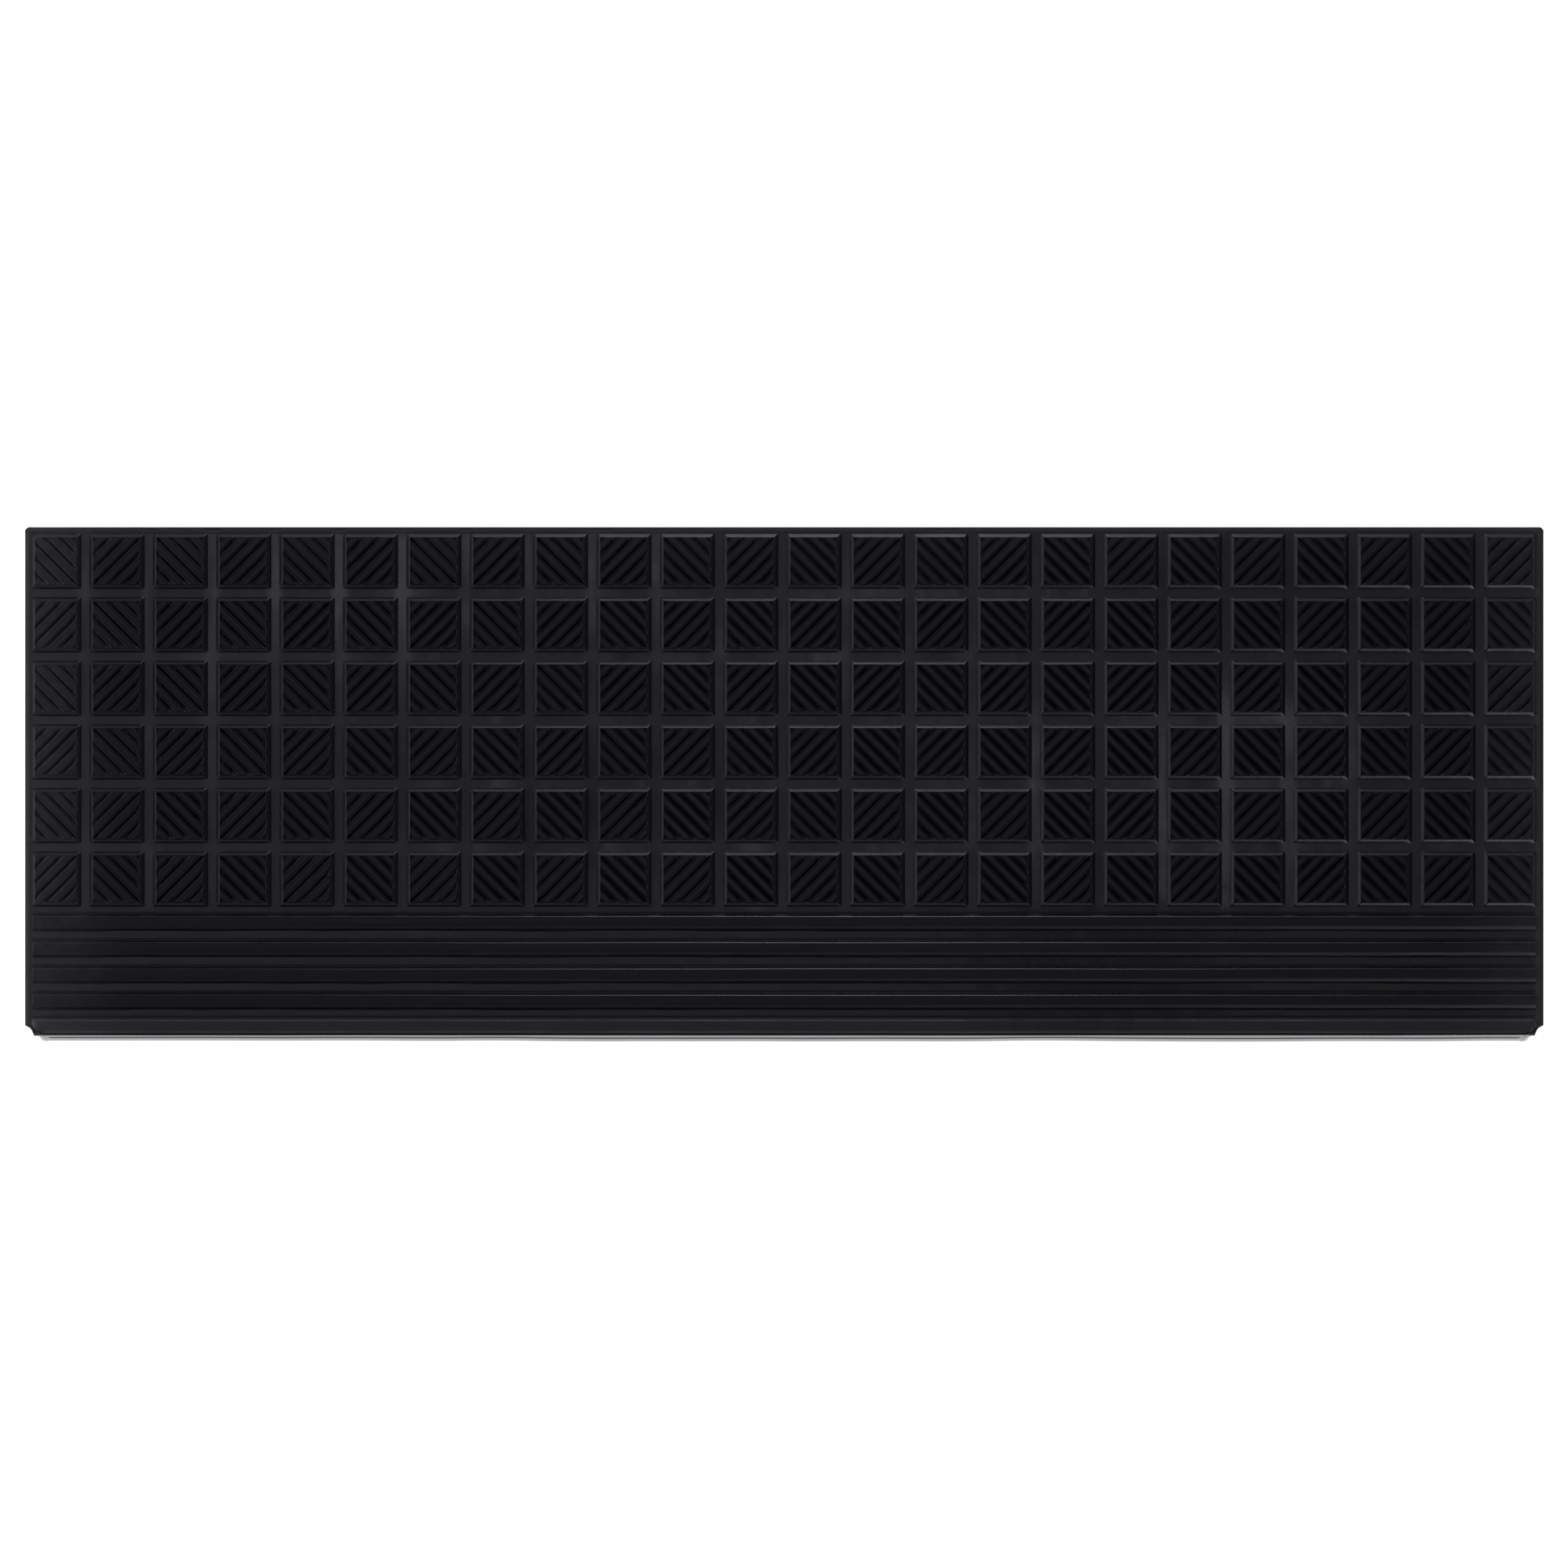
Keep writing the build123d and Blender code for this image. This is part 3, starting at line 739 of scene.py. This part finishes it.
world = bpy.data.worlds.new("studio")
scene.world = world
world.use_nodes = True
wn = world.node_tree
wn.nodes.clear()
w_out = wn.nodes.new("ShaderNodeOutputWorld")
w_seen = wn.nodes.new("ShaderNodeBackground")
w_seen.inputs["Color"].default_value = (1, 1, 1, 1)
w_seen.inputs["Strength"].default_value = 1.0
w_lit = wn.nodes.new("ShaderNodeBackground")
w_lit.inputs["Color"].default_value = (0.95, 0.97, 1.0, 1)
w_lit.inputs["Strength"].default_value = 0.06
w_mix = wn.nodes.new("ShaderNodeMixShader")
w_path = wn.nodes.new("ShaderNodeLightPath")
wn.links.new(w_path.outputs["Is Camera Ray"], w_mix.inputs["Fac"])
wn.links.new(w_lit.outputs[0], w_mix.inputs[1])
wn.links.new(w_seen.outputs[0], w_mix.inputs[2])
wn.links.new(w_mix.outputs[0], w_out.inputs[0])


def softbox(name, at, aim, size_x, size_y, radiance, colour=(0.98, 0.98, 1.045)):
    """An area light whose surface has the given radiance."""
    data = bpy.data.lights.new(name, "AREA")
    data.shape = "RECTANGLE"
    data.size, data.size_y = size_x, size_y
    data.energy = radiance * math.pi * size_x * size_y
    data.color = colour
    obj = bpy.data.objects.new(name, data)
    scene.collection.objects.link(obj)
    obj.location = at
    from mathutils import Vector
    obj.rotation_euler = (Vector(aim) - Vector(at)).to_track_quat("-Z", "Y").to_euler()
    obj.visible_camera = False
    return obj


softbox("overhead", (-0.10, 0.05, 3.2), (-0.10, 0.05, 0), 1.95, 1.6, 1.0)
softbox("left", (-1.7, 0.05, 0.62), (0, 0.0, 0.1), 1.7, 0.8, 3.1)
softbox("right", (1.7, 0.0, 0.42), (0, 0.0, 0.1), 1.7, 0.8, 0.45)
softbox("rear", (0.06, 1.6, 0.42), (0.03, 0, 0.1), 0.42, 0.8, 8.4)
softbox("rear_wide", (0.0, 1.75, 0.35), (0, 0, 0.1), 2.6, 0.5, 1.5)
softbox("front_wide", (0.0, -1.75, 0.25), (0, 0, 0.05), 2.6, 0.40, 1.9)
softbox("front_right", (0.78, -1.5, 0.25), (0.3, 0, 0.05), 0.6, 0.40, 10.5)

cam_data = bpy.data.cameras.new("camera")
cam = bpy.data.objects.new("camera", cam_data)
scene.collection.objects.link(cam)
cam_y = -0.00187
cam_h = 2.5
top_plane = 0.0048
cam.location = (-0.00014, cam_y, top_plane + cam_h)
cam.rotation_euler = (0, 0, 0)
cam_data.sensor_width = 36
cam_data.lens = 36 * cam_h / (1932 / 2496.3)
cam_data.clip_end = 50
scene.camera = cam
scene.view_settings.view_transform = "Standard"
scene.view_settings.look = "None"
scene.view_settings.exposure = 0.0
scene.view_settings.gamma = 1.0
